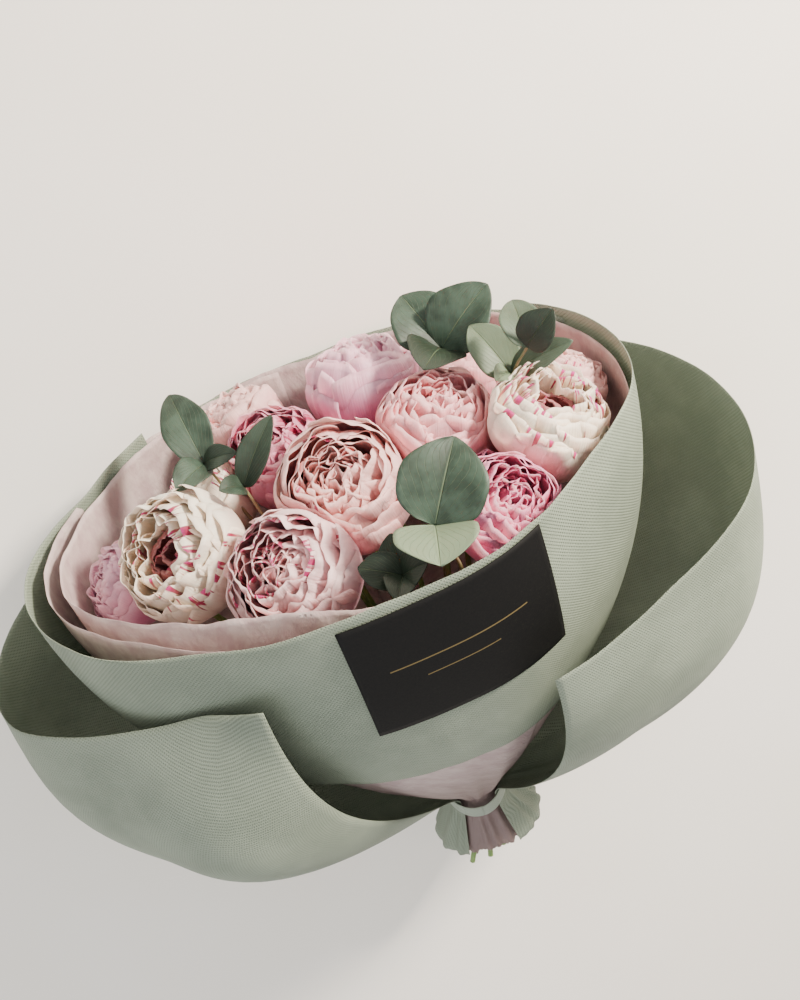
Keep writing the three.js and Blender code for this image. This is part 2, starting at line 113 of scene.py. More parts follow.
class Recipe:
    """A material in the making. Most methods add a node and return what it puts out."""

    def __init__(self, name, roughness, bump_height=0.0, **shader):
        self.material = bpy.data.materials.new(name)
        self.material.use_nodes = True
        self.tree = self.material.node_tree
        self.shader = self.tree.nodes["Principled BSDF"]
        self.shader.inputs["Roughness"].default_value = roughness
        for socket, value in shader.items():
            self.shader.inputs[socket.replace("_", " ")].default_value = value
        self.bump_height = bump_height

    def node(self, kind, settings=None, **inputs):
        """A node with its settings and its inputs, each by its name, or by its number as in i0."""
        made = self.tree.nodes.new(kind)
        for setting, value in (settings or {}).items():
            setattr(made, setting, value)
        for socket, value in inputs.items():
            key = int(socket[1:]) if socket[1:].isdigit() else socket
            if hasattr(value, "is_output"):
                self.tree.links.new(value, made.inputs[key])
            else:
                made.inputs[key].default_value = value
        return made

    def maths(self, operation, first, second=0.0):
        made = self.node("ShaderNodeMath", {"operation": operation}, i0=first, i1=second)
        return made.outputs[0]

    def noise(self, where, scale, detail=3.0, rough=0.55):
        sizes = {"Scale": scale, "Detail": detail, "Roughness": rough}
        return self.node("ShaderNodeTexNoise", Vector=where, **sizes).outputs["Fac"]

    def band(self, value, low, high, to_low=0.0, to_high=1.0):
        """The value spread from one range to another, with soft ends."""
        made = self.node("ShaderNodeMapRange", {"interpolation_type": "SMOOTHSTEP"}, Value=value)
        ends = {"From Min": low, "From Max": high, "To Min": to_low, "To Max": to_high}
        for socket, end in ends.items():
            made.inputs[socket].default_value = end
        return made.outputs["Result"]

    def mix(self, share, first, second):
        """The first colour, with this share of it replaced by the second."""
        made = self.node("ShaderNodeMix", {"data_type": "RGBA"}, i0=share)
        for socket, value in ((6, first), (7, second)):
            if hasattr(value, "is_output"):
                self.tree.links.new(value, made.inputs[socket])
            else:
                made.inputs[socket].default_value = (*value, 1)
        return made.outputs[2]

    def own(self, attribute):
        """A value that every point of the mesh carries."""
        return self.node("ShaderNodeAttribute", {"attribute_name": attribute}).outputs["Fac"]

    def uv(self):
        return self.node("ShaderNodeUVMap", {"uv_map": "flat"}).outputs["UV"]

    def split(self, where):
        made = self.node("ShaderNodeSeparateXYZ", Vector=where)
        return made.outputs["X"], made.outputs["Y"]

    def place(self):
        return self.node("ShaderNodeTexCoord").outputs["Object"]

    def stretched(self, where, scale):
        return self.node("ShaderNodeMapping", Vector=where, Scale=scale).outputs["Vector"]

    def finished(self, colour, height=None):
        self.tree.links.new(colour, self.shader.inputs["Base Color"])
        if height is not None:
            bump = self.node("ShaderNodeBump", Distance=self.bump_height, Height=height, Strength=1.0)
            self.tree.links.new(bump.outputs["Normal"], self.shader.inputs["Normal"])
        return self.material


def linear(hex_colour):
    """A colour from its usual hex code, as light."""
    shares = [int(hex_colour[i : i + 2], 16) / 255 for i in (1, 3, 5)]
    return tuple(s / 12.92 if s <= 0.04045 else ((s + 0.055) / 1.055) ** 2.4 for s in shares)


plaster = Recipe("pale_floor", 0.75)
cloudy = plaster.noise(plaster.place(), 3.0)
plaster.finished(plaster.mix(plaster.band(cloudy, 0.3, 0.7), linear("#f3ede4"), linear("#f6f1ea")))

floor_mesh = bpy.data.meshes.new("floor")
FLOOR_HALF = 6.0
corners = [(-1, -1), (1, -1), (1, 1), (-1, 1)]
floor_mesh.from_pydata([(FLOOR_HALF * x, FLOOR_HALF * y, 0) for x, y in corners], [], [(0, 1, 2, 3)])
floor_mesh.materials.append(plaster.material)
floor = in_scene("floor", floor_mesh)

# ---------------------------------------------------------------- the two sheets of tissue
# Thin blush tissue, gathered by hand at the neck and opened into a bowl round the flowers. It is
# crinkled all over, and its cut edge waves.

MM = 0.001
NECK = {"x": 17.5 * MM, "y": 26 * MM, "half": 8 * MM}
TAIL = {"x": 42 * MM, "y": 36 * MM, "end": -47 * MM}
BOWL = {"height": 340 * MM, "fullness": 2.2}
# The radius of the bowl's rim, every 30 degrees from the back round to the back.
BOWL_RADIUS = np.array([178, 190, 208, 220, 174, 147, 138, 150, 167, 207, 215, 194, 178]) * MM
LAYER = 1.4 * MM
# Where a sheet leaves the ones below it to flare out, it bends this softly.
SOFT_CREASE = {"size": 12 * MM, "from": 20 * MM, "full_at": 160 * MM}
LOOSE_FROM = 0.55  # the share of the bowl's height where a sheet starts to stand off
CRINKLED = {"from": 20 * MM, "full_at": 100 * MM}
COLUMN = 1.5  # degrees between two columns of a sheet's points
# Waves of an edge, in degrees each. Crinkles: how many there are per degree, and how tall each is.
WAVES = {"long": 14, "short": 3, "crinkles": 0.12, "tall": 20 * MM}
PLEATS = {"count": 19, "depth": 2.4 * MM, "full_at": 16 * MM, "fades": 75 * MM}


def smooth_line(values, t):
    """A smooth line through values at even steps, read at t from 0 to 1."""
    values = np.asarray(values, float)
    known = np.concatenate(([2 * values[0] - values[1]], values, [2 * values[-1] - values[-2]]))
    s = np.clip(t, 0, 1) * (len(values) - 1)
    i = np.minimum(np.floor(s).astype(int), len(values) - 2)
    f = s - i
    a, b, c, d = known[i], known[i + 1], known[i + 2], known[i + 3]
    slope, curve, twist = c - a, 2 * a - 5 * b + 4 * c - d, 3 * b - a - 3 * c + d
    return 0.5 * (2 * b + slope * f + curve * f**2 + twist * f**3)


def smooth_step(low, high, value):
    t = np.clip((value - low) / (high - low), 0, 1)
    return t * t * (3 - 2 * t)


def ellipse_radius(angle, x, y):
    return 1 / np.hypot(np.sin(np.radians(angle)) / x, np.cos(np.radians(angle)) / y)


def swell(angle, z, radius, height, fullness, belly=0.0):
    """The radius of a sheet that swells from the neck to a wider top."""
    neck = ellipse_radius(angle, NECK["x"], NECK["y"])
    share = np.clip((z - NECK["half"]) / (height - NECK["half"]), 0, 1)
    return neck + (radius - neck) * (1 - (1 - share) ** fullness) + belly * np.sin(np.pi * share)


def bowl(angle, z):
    """The radius of the wrapping round the flowers, and of the skirt below the neck."""
    neck = ellipse_radius(angle, NECK["x"], NECK["y"])
    down = np.clip((z + NECK["half"]) / (TAIL["end"] + NECK["half"]), 0, 1)
    skirt = neck + (ellipse_radius(angle, TAIL["x"], TAIL["y"]) - neck) * down
    turn = np.mod(angle + 180, 360) / 360
    cup = swell(angle, z, smooth_line(BOWL_RADIUS, turn), BOWL["height"], BOWL["fullness"])
    return np.where(z < -NECK["half"], skirt, cup)


def pleated(angle, z):
    """Folds gathered in by the string. They die out on the way up."""
    off_neck = np.abs(z) - NECK["half"]
    depth = PLEATS["depth"] * smooth_step(0, PLEATS["full_at"], off_neck)
    depth = depth * np.exp(-np.maximum(off_neck, 0) / PLEATS["fades"])
    turn = np.radians(angle)
    uneven = 1.3 * np.sin(3 * turn + 1) + 0.9 * np.sin(7 * turn) + 0.5 * np.sin(11 * turn + 2)
    strength = 0.7 + 0.3 * np.sin(5 * turn + 0.7)
    return depth * strength * np.sin(PLEATS["count"] * turn + uneven)


def ripples(x, y, seed, count=5):
    """Smooth uneven waves over a sheet, between -1 and 1, about one wave per unit."""
    draw = random.Random(seed)
    total = np.zeros(np.broadcast(x, y).shape)
    for _ in range(count):
        heading = draw.uniform(0, math.pi)
        pitch = draw.uniform(0.6, 1.5) * 2 * math.pi
        total += np.sin(pitch * (x * math.cos(heading) + y * math.sin(heading)) + draw.uniform(0, 6.3))
    return total / count


def pressed_flat(points, level):
    """Paper that would sink into the surface is pressed flat on it, or on the layers beneath."""
    softness = 3 * MM
    short = level - points @ UP - TIE.z
    push = (short + np.sqrt(short**2 + softness**2)) / 2
    return points + push[..., None] * UP


def grid_normals(grid):
    """The direction in which a grid of points faces, at every point."""
    along = np.gradient(grid, axis=1)
    across = np.gradient(grid, axis=0)
    normal = np.cross(along, across)
    return normal / np.maximum(np.linalg.norm(normal, axis=-1, keepdims=True), 1e-12)


def shell(grid, thickness):
    """A closed sheet round a grid of points, as points and faces. Its thickness may vary over it."""
    rows, columns = grid.shape[:2]
    half = np.broadcast_to(np.asarray(thickness, float) / 2, (rows, columns))
    half = half[..., None] * grid_normals(grid)
    points = np.concatenate([(grid + half).reshape(-1, 3), (grid - half).reshape(-1, 3)])
    ids = np.arange(rows * columns).reshape(rows, columns)
    a, b, c, d = ids[:-1, :-1].ravel(), ids[:-1, 1:].ravel(), ids[1:, 1:].ravel(), ids[1:, :-1].ravel()
    back = rows * columns
    outer = np.stack([a, b, c, d], 1)
    inner = np.stack([d, c, b, a], 1) + back
    rim = np.concatenate([ids[0, :], ids[1:, -1], ids[-1, -2::-1], ids[-2:0:-1, 0]])
    after = np.roll(rim, -1)
    edge = np.stack([after, rim, rim + back, after + back], 1)
    return points, np.concatenate([outer, inner, edge])


class Heap:
    """The sheets of one piece, kept until they are made into a mesh together."""

    def __init__(self):
        self.points, self.faces, self.uvs, self.values = [], [], [], {}
        self.count = 0

    def add(self, grid, thickness, u, v, **values):
        """One more sheet round a grid of points, which lies at u and v when it is flat."""
        points, faces = shell(grid, thickness)
        uv = np.stack(np.broadcast_arrays(u, v), -1).reshape(-1, 2)
        self.points.append(points)
        self.faces.append(faces + self.count)
        self.uvs.append(np.concatenate([uv, uv]))
        for name, value in values.items():
            self.values.setdefault(name, []).append(np.broadcast_to(value, len(points)))
        self.count += len(points)

    def piece(self, name, material):
        """One object laid down with the bunch, with its points in place."""
        points = np.concatenate(self.points)
        faces = np.concatenate(self.faces)
        mesh = bpy.data.meshes.new(name)
        mesh.vertices.add(len(points))
        mesh.vertices.foreach_set("co", points.ravel())
        mesh.loops.add(faces.size)
        mesh.loops.foreach_set("vertex_index", faces.ravel().astype(np.int32))
        mesh.polygons.add(len(faces))
        mesh.polygons.foreach_set("loop_start", np.arange(len(faces), dtype=np.int32) * faces.shape[1])
        mesh.update(calc_edges=True)
        mesh.validate()
        flat = mesh.uv_layers.new(name="flat")
        flat.data.foreach_set("uv", np.concatenate(self.uvs)[faces.ravel()].ravel())
        for key, parts in self.values.items():
            layer = mesh.attributes.new(key, "FLOAT", "POINT")
            layer.data.foreach_set("value", np.concatenate(parts).astype(float))
        mesh.shade_smooth()
        mesh.transform(LAID)
        mesh.materials.append(material)
        return in_scene(name, mesh)


def sheet_radius(sheet, angle, z, t):
    """How far out a sheet is: nested round the bowl, flared out, spread at its rim and pleated below."""
    nested = bowl(angle, z) + sheet["layer"] * LAYER
    flare = sheet.get("flare")
    if flare:
        height = smooth_line(sheet["top"], t) * MM
        size = {key: smooth_line(values, t) for key, values in flare.items()}
        belly = size.get("belly", 0.0) * MM
        opened = swell(angle, z, size["radius"] * MM, height, size["fullness"], belly)
        apart = opened - nested
        softness = SOFT_CREASE["size"] * smooth_step(SOFT_CREASE["from"], SOFT_CREASE["full_at"], z)
        wider = (nested + opened + np.sqrt(apart**2 + softness**2)) / 2
        nested = np.where(z > NECK["half"], wider, nested)
    spread = smooth_line(sheet["spread"], t) * MM if "spread" in sheet else 0.0
    rise = smooth_step(LOOSE_FROM * BOWL["height"], BOWL["height"], z)
    return nested + spread * rise + pleated(angle, z)


def sheet_piece(name, sheet, material, thickness, crinkle, edge_wave):
    """A sheet of the wrapping, in fine steps, from its lower edge to its upper edge."""
    columns = int(abs(sheet["to"] - sheet["from"]) / COLUMN) + 1
    rows = sheet.get("rows", 70)
    t = np.linspace(0, 1, columns)[None, :]
    v = np.linspace(0, 1, rows)[:, None]
    angle = sheet["from"] + (sheet["to"] - sheet["from"]) * t
    long_waves = ripples(angle / WAVES["long"], 0 * angle, name)
    short_waves = ripples(angle / WAVES["short"], 0 * angle, name + "rim")
    wave = edge_wave * (long_waves + 0.25 * short_waves)
    top = smooth_line(sheet["top"], t) * MM + wave
    bottom = smooth_line(sheet["bottom"], t) * MM if "bottom" in sheet else TAIL["end"] + 2 * wave
    z = bottom + (top - bottom) * v
    radius = sheet_radius(sheet, angle + 0 * z, z, t + 0 * z)
    fine = ripples(angle * WAVES["crinkles"] + 0 * z, z / WAVES["tall"], name + "fine", 7)
    loose = np.abs(smooth_line(sheet.get("spread", [0, 0]), t)) / 10
    crinkled = smooth_step(CRINKLED["from"], CRINKLED["full_at"], z)
    radius = radius + crinkle * (1 + 6 * loose) * fine * crinkled
    turned = np.radians(angle)
    grid = np.stack([radius * np.sin(turned), -radius * np.cos(turned), z], -1)
    level = sheet["layers_below"] * LAYER + thickness / 2
    grid = pressed_flat(grid, level)
    steps = np.linalg.norm(np.diff(grid, axis=0), axis=-1)
    up_sheet = np.concatenate([np.zeros((1, columns)), np.cumsum(steps, 0)])
    strides = np.linalg.norm(np.diff(grid, axis=1), axis=-1)
    round_sheet = np.concatenate([np.zeros((rows, 1)), np.cumsum(strides, 1)], 1)
    round_sheet = round_sheet - round_sheet[:, columns // 2][:, None]
    heap = Heap()
    heap.add(grid, thickness, round_sheet, up_sheet)
    piece = heap.piece(name, material)
    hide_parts(sheet["node"])
    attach(piece, "root")


tissue = Recipe(
    "blush_tissue", 0.6, 0.002,
    Subsurface_Weight=0.25, Subsurface_Scale=0.002, Subsurface_Radius=(1.0, 0.8, 0.75),
)
tissue_flat = tissue.uv()
tissue_wrinkles = tissue.noise(tissue.stretched(tissue_flat, (1.6, 1, 1)), 42.0, 4.0, 0.6)
tissue_fibres = tissue.noise(tissue_flat, 900.0, 2.0)
tissue_tone = tissue.mix(tissue.band(tissue_wrinkles, 0.35, 0.65), linear("#a68f90"), linear("#bba8a5"))
tissue_tone = tissue.mix(tissue.maths("MULTIPLY", tissue_fibres, 0.12), tissue_tone, linear("#846f70"))
# Painted shade: the tissue is painted darker towards the neck, where the front band shades it.
_, tissue_up = tissue.split(tissue_flat)
tissue_tone = tissue.mix(tissue.band(tissue_up, 0.11, 0.24, 0.85, 0.0), tissue_tone, linear("#65524f"))
tissue_relief = tissue.maths("ADD", tissue_wrinkles, tissue.maths("MULTIPLY", tissue_fibres, 0.08))
blush_tissue = tissue.finished(tissue_tone, tissue_relief)

TISSUES = {
    "inner_tissue": {
        "node": "tissue_inner", "slot": "blush_tissue",
        "from": -171, "to": 171, "layer": 0, "layers_below": 5,
        "top": [342, 344, 338, 336, 338, 326, 306, 318, 332, 342, 342],
        "spread": [0, 0, -4, -8, -14, -5, 0, 0, -2, -3, 0],
    },
    "outer_tissue": {
        "node": "tissue_outer", "slot": "blush_tissue",
        "from": -189, "to": 36, "layer": 1, "layers_below": 4,
        "top": [342, 344, 342, 332, 320, 306, 296],
        "spread": [0, 2, 8, 3, -2, 0, 0],
    },
}
TISSUE = {"thickness": 0.2 * MM, "crinkle": 0.25 * MM, "edge_wave": 2.5 * MM}
for sheet_name, sheet in TISSUES.items():
    sheet_piece(sheet_name, sheet, blush_tissue, **TISSUE)

# ---------------------------------------------------------------- the four sheets of sage paper
# Stiff matt paper embossed like a weave. One sheet stands behind the flowers, a folded band closes the
# front, and two large sheets are folded round the sides and flare out as wings.

WEAVE = 3.0 * MM
paper = Recipe(
    "sage_paper", 0.72, 0.00045,
    Subsurface_Weight=0.2, Subsurface_Scale=0.0025, Subsurface_Radius=(1.0, 1.0, 0.95),
)
paper_flat = paper.uv()
paper_x, paper_y = paper.split(paper_flat)
ribs_across = paper.maths("SINE", paper.maths("MULTIPLY", paper_x, 2 * math.pi / WEAVE))
ribs_along = paper.maths("SINE", paper.maths("MULTIPLY", paper_y, 2 * math.pi / WEAVE))
weave = paper.maths("MULTIPLY", ribs_across, ribs_along)
mottle = paper.noise(paper.place(), 14.0, 4.0)
soft_dents = paper.noise(paper.place(), 22.0, 2.0)
sage = paper.mix(paper.band(mottle, 0.35, 0.65), linear("#757f70"), linear("#838d7d"))
# Painted shade: the pits of the embossed weave are painted darker, so that the emboss shows as if
# shaded.
sage = paper.mix(paper.band(weave, -0.9, -0.1, 0.5, 0.0), sage, linear("#515d4e"))
paper_relief = paper.maths("ADD", paper.band(weave, -0.9, 0.0), paper.maths("MULTIPLY", soft_dents, 2.5))
sage_paper = paper.finished(sage, paper_relief)

PAPERS = {
    "back_sheet": {
        "node": "wrap_back", "slot": "sage_paper",
        "from": 117, "to": 234, "layer": 2, "layers_below": 3,
        "top": [338, 342, 344, 344, 344, 344, 340],
    },
    "front_band": {
        "node": "wrap_collar", "slot": "sage_paper",
        "from": -135, "to": 126, "layer": 3, "layers_below": 2, "rows": 48,
        "top": [352, 340, 334, 329, 337, 339, 342, 344, 346],
        "bottom": [205, 190, 170, 150, 148, 146, 150, 165, 190],
        "flare": {
            "radius": [150, 238, 214, 140, 100, 100, 100, 100, 100],
            "fullness": [2.2, 2.2, 2.2, 2.2, 2.2, 2.2, 2.2, 2.2, 2.2],
        },
    },
    "left_wing": {
        "node": "wrap_left", "slot": "sage_paper",
        "from": -216, "to": -36, "layer": 4, "layers_below": 1,
        "top": [324, 324, 324, 324, 318, 308, 296, 284, 274, 271, 272, 279, 285],
        "flare": {
            "radius": [150, 150, 150, 150, 150, 190, 236, 280, 298, 284, 222, 178, 168],
            "fullness": [2, 2, 2, 2, 2, 2, 2.5, 3, 3.1, 3.1, 2.9, 2.5, 2.2],
            "belly": [0, 0, 0, 0, 0, 0, 0, 0, 0, 14, 42, 64, 8],
        },
    },
    "right_wing": {
        "node": "wrap_right", "slot": "sage_paper",
        "from": 27, "to": 216, "layer": 5, "layers_below": 0,
        "top": [237, 253, 270, 284, 297, 306, 311, 312, 312],
        "flare": {
            "radius": [172, 211, 268, 278, 250, 190, 150, 150, 150],
            "fullness": [2.2, 2.8, 3.6, 3.4, 2.8, 2, 2, 2, 2],
        },
    },
}
STIFF_PAPER = {"thickness": 0.5 * MM, "crinkle": 0.0, "edge_wave": 0.8 * MM}
for sheet_name, sheet in PAPERS.items():
    sheet_piece(sheet_name, sheet, sage_paper, **STIFF_PAPER)

# ---------------------------------------------------------------- the card
# A smooth near-black card slipped on to the front band, where it bends with the paper. It carries two
# plain gold rules.

CARD = {
    "middle": 12, "bottom": 222 * MM, "rise": 10 * MM, "width": 138 * MM, "height": 105 * MM,
    "thickness": 0.8 * MM, "stands_off": 1.8 * MM,
}

card_mix = Recipe("dark_card", 0.7, 0.0001, Specular_IOR_Level=0.2)
card_u, card_v = card_mix.split(card_mix.uv())


def rule(middle, half_length, half_height):
    """1 inside a straight line printed on the card, as shares of its width and height."""
    beside = card_mix.maths("ABSOLUTE", card_mix.maths("SUBTRACT", card_u, 0.5))
    above = card_mix.maths("ABSOLUTE", card_mix.maths("SUBTRACT", card_v, middle))
    within = card_mix.maths("LESS_THAN", beside, half_length)
    return card_mix.maths("MULTIPLY", within, card_mix.maths("LESS_THAN", above, half_height))


rules = card_mix.maths("MAXIMUM", rule(0.56, 0.34, 0.005), rule(0.42, 0.18, 0.004))
card_grain = card_mix.noise(card_mix.place(), 700.0, 2.0)
card_black = card_mix.mix(card_mix.band(card_grain, 0.3, 0.7), linear("#060607"), linear("#0b0a0a"))
card_colour = card_mix.mix(rules, card_black, linear("#655737"))
dark_card = card_mix.finished(card_colour, card_grain)

card_t = np.linspace(0, 1, 41)[None, :]
card_v_steps = np.linspace(0, 1, 25)[:, None]
card_z = CARD["bottom"] + CARD["rise"] * card_t + CARD["height"] * card_v_steps


def band_radius(angle, z):
    """How far out the front band is under the card."""
    band = PAPERS["front_band"]
    return sheet_radius(band, angle, z, (angle - band["from"]) / (band["to"] - band["from"]))


card_middle = band_radius(CARD["middle"] + 0 * card_z, card_z)
card_angle = CARD["middle"] + np.degrees(CARD["width"] * (card_t - 0.5) / card_middle)
card_radius = band_radius(card_angle, card_z) + CARD["stands_off"]
card_turn = np.radians(card_angle)
card_grid = np.stack([card_radius * np.sin(card_turn), -card_radius * np.cos(card_turn), card_z], -1)
card_heap = Heap()
card_heap.add(card_grid, CARD["thickness"], card_t, card_v_steps)
card_piece = card_heap.piece("plain_card", dark_card)
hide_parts("card")
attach(card_piece, "root")

# ---------------------------------------------------------------- stems, and the nodes for every stalk
# Fresh green stems, tied in a spiral, with pale cut ends. A stalk follows a path of points, and small
# knobbles roughen its skin.


def stalk_tree():
    """Geometry nodes that sweep a circle along a path into a closed stalk."""
    tree = bpy.data.node_groups.new("stalk_along_path", "GeometryNodeTree")
    tree.interface.new_socket("Path", in_out="INPUT", socket_type="NodeSocketGeometry")
    sizes = {"Step": "Float", "Sides": "Int", "Knobbles": "Float", "Finish": "Material"}
    for name, kind in sizes.items():
        tree.interface.new_socket(name, in_out="INPUT", socket_type="NodeSocket" + kind)
    tree.interface.new_socket("Stalk", in_out="OUTPUT", socket_type="NodeSocketGeometry")
    new = tree.nodes.new
    entry, leave = new("NodeGroupInput"), new("NodeGroupOutput")
    even = new("GeometryNodeResampleCurve")
    even.mode = "LENGTH"
    ring = new("GeometryNodeCurvePrimitiveCircle")
    ring.inputs["Radius"].default_value = 1.0
    skin = new("GeometryNodeCurveToMesh")
    skin.inputs["Fill Caps"].default_value = True
    bumps = new("ShaderNodeTexNoise")
    bumps.inputs["Scale"].default_value = 160
    centred = new("ShaderNodeMath")
    centred.operation = "SUBTRACT"
    centred.inputs[1].default_value = 0.5
    depth = new("ShaderNodeMath")
    depth.operation = "MULTIPLY"
    outwards = new("GeometryNodeInputNormal")
    push = new("ShaderNodeVectorMath")
    push.operation = "SCALE"
    moved = new("GeometryNodeSetPosition")
    smooth = new("GeometryNodeSetShadeSmooth")
    real = new("GeometryNodeRealizeInstances")
    finish = new("GeometryNodeSetMaterial")
    radius = new("GeometryNodeInputRadius")
    for source, output, target, socket in [
        (entry, "Path", even, "Curve"),
        (entry, "Step", even, "Length"),
        (entry, "Sides", ring, "Resolution"),
        (even, "Curve", skin, "Curve"),
        (ring, "Curve", skin, "Profile Curve"),
        (radius, "Radius", skin, "Scale"),
        (skin, "Mesh", moved, "Geometry"),
        (bumps, "Fac", centred, 0),
        (centred, 0, depth, 0),
        (entry, "Knobbles", depth, 1),
        (outwards, "Normal", push, 0),
        (depth, 0, push, "Scale"),
        (push, "Vector", moved, "Offset"),
        (moved, "Geometry", smooth, "Geometry"),
        (smooth, "Geometry", real, "Geometry"),
        (real, "Geometry", finish, "Geometry"),
        (entry, "Finish", finish, "Material"),
        (finish, "Geometry", leave, "Stalk"),
    ]:
        tree.links.new(source.outputs[output], target.inputs[socket])
    return tree


STALK = stalk_tree()


def stalk_piece(name, paths, material, step, sides, knobbles):
    """A mesh of stalks along paths, each a list of (point, radius), laid down with the bunch."""
    curve = bpy.data.curves.new(name + "_path", "CURVE")
    curve.dimensions = "3D"
    for path in paths:
        spline = curve.splines.new("POLY")
        spline.points.add(len(path) - 1)
        for point, (place, radius) in zip(spline.points, path):
            point.co = (*place, 1)
            point.radius = radius
    guide = in_scene(name + "_path", curve)
    modifier = guide.modifiers.new("stalk", "NODES")
    modifier.node_group = STALK
    sizes = {"Step": step, "Sides": sides, "Knobbles": knobbles, "Finish": material}
    for socket in STALK.interface.items_tree:
        if socket.in_out == "INPUT" and socket.name in sizes:
            modifier[socket.identifier] = sizes[socket.name]
    evaluated = guide.evaluated_get(bpy.context.evaluated_depsgraph_get())
    mesh = bpy.data.meshes.new_from_object(evaluated)
    mesh.name = name
    mesh.transform(LAID)
    bpy.data.objects.remove(guide)
    return in_scene(name, mesh)


PATH_STEPS = 10  # between one point of a path and the next


def smooth_path(points, radii):
    """A smooth path through points, as (point, radius) pairs."""
    t = np.linspace(0, 1, PATH_STEPS * (len(points) - 1) + 1)
    axes = [smooth_line([p[axis] for p in points], t) for axis in range(3)]
    widths = np.interp(t, np.linspace(0, 1, len(radii)), radii)
    return list(zip(zip(*axes), widths))


green = Recipe("stem_green", 0.5, 0.0004, Subsurface_Weight=0.08, Subsurface_Scale=0.002)
long_ribs = green.noise(green.stretched(green.place(), (1.0, 0.12, 1.0)), 420.0)
blush = green.noise(green.place(), 30.0)
stem_colour = green.mix(green.band(long_ribs, 0.3, 0.7), linear("#5f7a3e"), linear("#7f9a58"))
stem_colour = green.mix(green.band(blush, 0.55, 0.75, 0.0, 0.5), stem_colour, linear("#8a6a4c"))
up_stem = Vector((0, -COS, SIN))
CUT_END_FROM = 61.4 * MM  # below the tie
up_bunch = green.node("ShaderNodeVectorMath", {"operation": "DOT_PRODUCT"}, i0=green.place(), i1=up_stem)
cut_end = green.maths("LESS_THAN", up_bunch.outputs["Value"], up_stem.dot(TIE) - CUT_END_FROM)
stem_colour = green.mix(cut_end, stem_colour, linear("#c3cfa0"))
stem_green = green.finished(stem_colour, long_ribs)

STEM_RADIUS = {"flower": 2.35 * MM, "bud": 1.5 * MM, "shoot": 1.5 * MM}
STEM_END = -62 * MM
STEM_TWIST = 32.0  # how far the stems turn about the tie per metre of height
LEAN = 0.087  # how far the stems lean to the back per metre of height
CORE = 0.7  # the share of a flower's radius at which its stem ends
TOUCHING = 0.3 * MM
STEM_BEND = 45 * MM
BEFORE_BEND = 20 * MM
CALYX = {"radius": 7 * MM, "depth": 6 * MM}
BUD_RADIUS = 26 * MM


def at_tie(point):
    """Where a straight stem of the spiral passes the tie, if it reaches a point on the way up."""
    turn = STEM_TWIST * point.z
    y = point.y - LEAN * point.z
    size = 1 + turn * turn
    return (point.x + turn * y) / size, (y - turn * point.x) / size


def on_stem(foot, z):
    """The place of a straight stem of the spiral at a height."""
    return Vector((foot[0] - STEM_TWIST * z * foot[1], foot[1] + STEM_TWIST * z * foot[0] + LEAN * z, z))


# Every flower: centre and radius in millimetres, the kind of bloom, and how far its face leans to the
# front.
PEONIES = {
    "peony_01": ((-127, 2, 322), 45, "cream", 0.9),
    "peony_02": ((-176, 24, 302), 32, "lilac", 0.2),
    "peony_03": ((-56, -52, 312), 45, "streaked", 0.6),
    "peony_04": ((-5, 2, 327), 47, "shell", 0.9),
    "peony_05": ((-46, 74, 326), 38, "deep", 0.9),
    "peony_06": ((-66, 132, 330), 34, "shell", 0.2),
    "peony_07": ((34, 112, 334), 45, "lilac", 0.1),
    "peony_08": ((72, 28, 327), 45, "salmon", 0.3),
    "peony_09": ((140, -12, 326), 41, "cream", 0.1),
    "peony_10": ((90, -70, 314), 37, "bright", 0.4),
    "peony_11": ((170, 47, 312), 31, "shell", 0.0),
    "peony_12": ((-104, 74, 312), 35, "cream", 0.3),
    "peony_13": ((109, 94, 315), 38, "salmon", 0.0),
    "peony_14": ((93, -26, 306), 24, "bright", 0.2),
}


AXES_MEET = {"behind": 14, "up": 60}  # where the axes of the flowers come from, in millimetres


def flower_axis(at):
    """The direction in which a flower sits on its stem."""
    x, y, z = at
    return Vector((x, y - LEAN * z - AXES_MEET["behind"], z - AXES_MEET["up"])).normalized()


for name, (at, size, *_) in PEONIES.items():
    axis = flower_axis(at)
    radius = size * MM
    top = Vector(at) * MM - axis * (CORE * radius + TOUCHING)
    bend = top - axis * STEM_BEND
    foot = at_tie(bend)
    thick = STEM_RADIUS["flower"] if radius > BUD_RADIUS else STEM_RADIUS["bud"]
    heights = (STEM_END, (STEM_END + bend.z) / 2, bend.z - BEFORE_BEND)
    points = [on_stem(foot, height) for height in heights]
    points += [bend, bend + axis * STEM_BEND / 2]
    points += [top - axis * CALYX["depth"], top - axis * 0.4 * CALYX["depth"], top]
    radii = [thick] * 5 + [thick + 0.8 * MM, 0.8 * CALYX["radius"], 0.6 * CALYX["radius"]]
    path = smooth_path(points, radii)
    stem = stalk_piece(
        name + "_stalk", [path], stem_green, step=2.5 * MM, sides=12, knobbles=0.5 * MM
    )
    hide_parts(name + "_stem")
    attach(stem, "root")

# ---------------------------------------------------------------- the string and the ribbon
# Jute string of three strands is wound round the stems to tie them. A band of satin ribbon, lapped at
# its ends, holds the gathered paper and tissue round them.

twine = Recipe("jute_string", 0.85, 0.0004)
fuzz = twine.noise(twine.place(), 1300.0, 3.0)
string_colour = twine.mix(twine.band(fuzz, 0.3, 0.7), linear("#94794f"), linear("#c7ab7c"))
jute_string = twine.finished(string_colour, fuzz)

STRING = {"turns": 5, "height": 7.6 * MM, "inside_neck": 1.55 * MM, "strand": 0.42 * MM, "lay": 26}
STEPS_PER_TURN = 150


